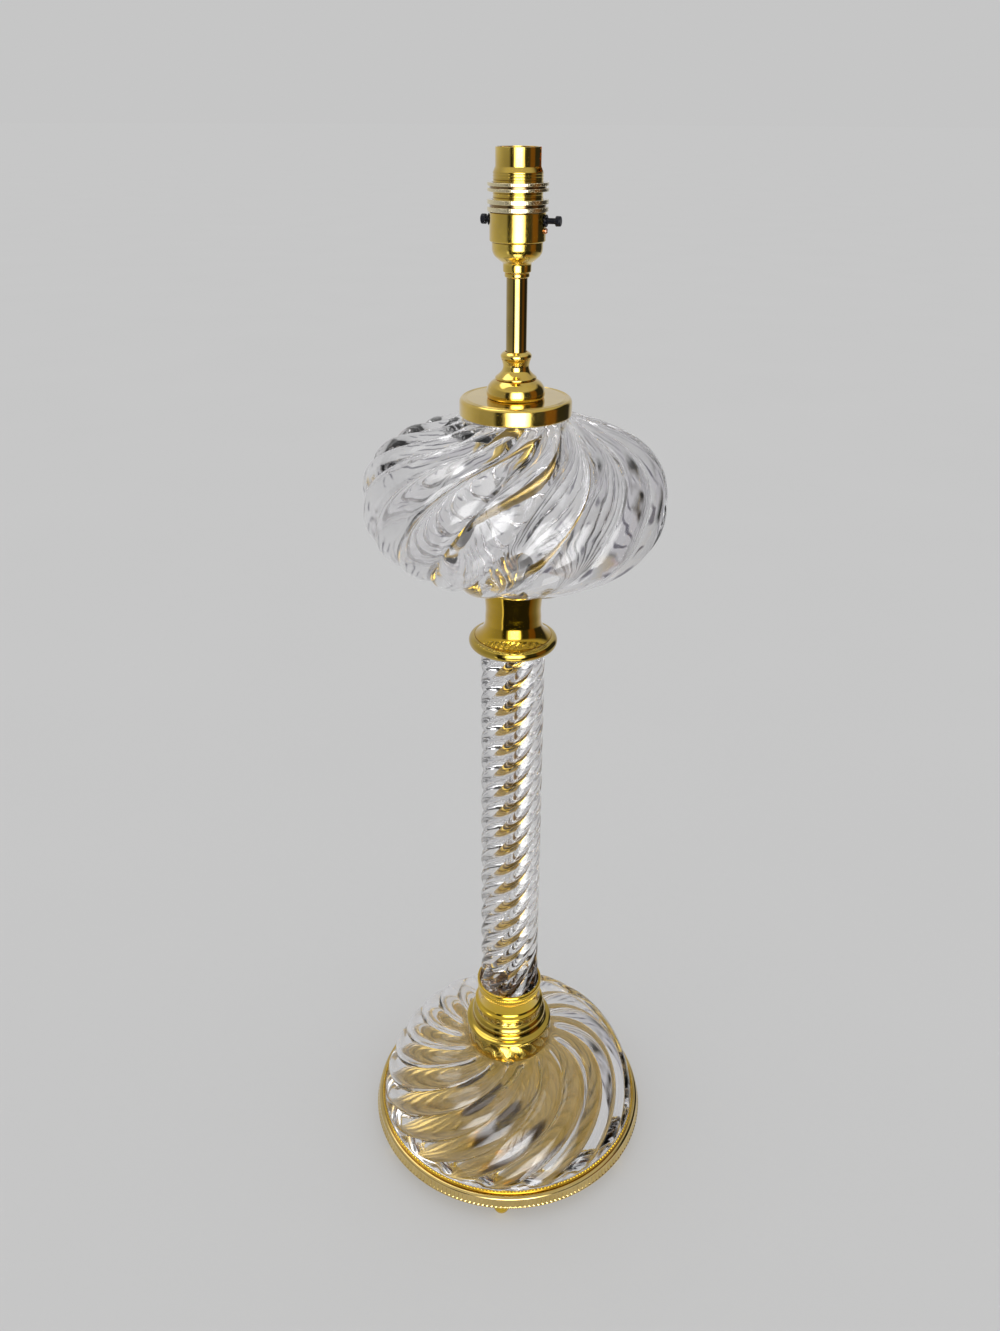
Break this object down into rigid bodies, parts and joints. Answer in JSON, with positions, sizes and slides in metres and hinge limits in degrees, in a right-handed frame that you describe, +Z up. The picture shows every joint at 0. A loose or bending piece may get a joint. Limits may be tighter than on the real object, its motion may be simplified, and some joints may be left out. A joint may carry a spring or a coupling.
{
  "type": "crystal column table lamp",
  "caption": "Table lamp with a spiral glass column, swirled glass base and reservoir, brass fittings and a switched bayonet lampholder.",
  "frame": {"origin": "on the surface that the feet stand on, under the lamp's centre line", "axes": "+Z up along the column; the switch's push bar runs along X; the picture's view is from between -Y and +X, 19 degrees from -Y"},
  "size_m": [0.2234, 0.2234, 0.7472],
  "materials": {
    "lacquered_brass": "polished and lacquered yellow brass",
    "plated_steel": "zinc-plated steel",
    "clear_glass": "clear pressed and cut glass, polished",
    "black_plastic": "black moulded thermoset",
    "white_plastic": "off-white moulded insulator",
    "clear_rubber": "translucent soft washer",
    "copper_plate": "copper-coloured screw"
  },
  "bodies": {
    "lamp": {"foot_1": "lacquered_brass", "foot_2": "lacquered_brass", "foot_3": "lacquered_brass", "foot_4": "lacquered_brass", "foot_5": "lacquered_brass", "foot_6": "lacquered_brass", "base_plate": "lacquered_brass", "base_washer": "plated_steel", "base_nut": "plated_steel", "tie_rod": "plated_steel", "rod_end_bush": "black_plastic", "glass_ring": "lacquered_brass", "base_glass": "clear_glass", "collar_flange": "lacquered_brass", "collar_step": "lacquered_brass", "column_socket": "lacquered_brass", "column_lower_washer": "clear_rubber", "column_glass": "clear_glass", "column_upper_washer": "clear_rubber", "column_sleeve": "lacquered_brass", "column_cap": "lacquered_brass", "reservoir_bell": "lacquered_brass", "reservoir_lower_washer": "clear_rubber", "reservoir_glass": "clear_glass", "reservoir_sleeve": "lacquered_brass", "reservoir_upper_washer": "clear_rubber", "reservoir_cap": "lacquered_brass", "top_nut": "plated_steel", "reservoir_dome": "lacquered_brass", "reservoir_neck": "lacquered_brass", "stem_collar": "lacquered_brass", "stem_tube": "lacquered_brass", "holder_nipple": "plated_steel", "nipple_nut": "lacquered_brass", "holder_cap": "lacquered_brass", "cap_grub_screw": "plated_steel", "holder_body": "lacquered_brass", "earth_screw": "copper_plate", "switch_block": "black_plastic", "switch_blade_1": "lacquered_brass", "switch_blade_2": "lacquered_brass", "terminal_screw_1": "lacquered_brass", "terminal_screw_2": "lacquered_brass", "switch_bush_left": "black_plastic", "switch_bush_right": "black_plastic", "contact_insulator": "white_plastic", "contact_spring_1": "plated_steel", "contact_spring_2": "plated_steel", "holder_skirt": "lacquered_brass"},
    "push_bar": {"switch_push_bar": "black_plastic", "switch_disc": "lacquered_brass"},
    "ring_lower": {"shade_ring_lower": "lacquered_brass"},
    "ring_upper": {"shade_ring_upper": "lacquered_brass"},
    "plunger_1": {"contact_plunger_1": "lacquered_brass"},
    "plunger_2": {"contact_plunger_2": "lacquered_brass"}
  },
  "joints": [
    {"name": "switch_slide", "type": "slide", "parent": "lamp", "child": "push_bar", "axis": [1, 0, 0], "range_m": [-0.0037, 0]},
    {"name": "ring_lower_travel", "type": "slide", "parent": "lamp", "child": "ring_lower", "axis": [0, 0, 1], "range_m": [0, 0.0018]},
    {"name": "ring_upper_travel", "type": "slide", "parent": "lamp", "child": "ring_upper", "axis": [0, 0, 1], "range_m": [-0.0018, 0.0092]},
    {"name": "plunger_1_press", "type": "slide", "parent": "lamp", "child": "plunger_1", "axis": [0, 0, 1], "range_m": [-0.0032, 0], "stiffness_N_per_m": 1200, "deforming": ["contact_spring_1"]},
    {"name": "plunger_2_press", "type": "slide", "parent": "lamp", "child": "plunger_2", "axis": [0, 0, 1], "range_m": [-0.0032, 0], "stiffness_N_per_m": 1200, "deforming": ["contact_spring_2"]}
  ]
}
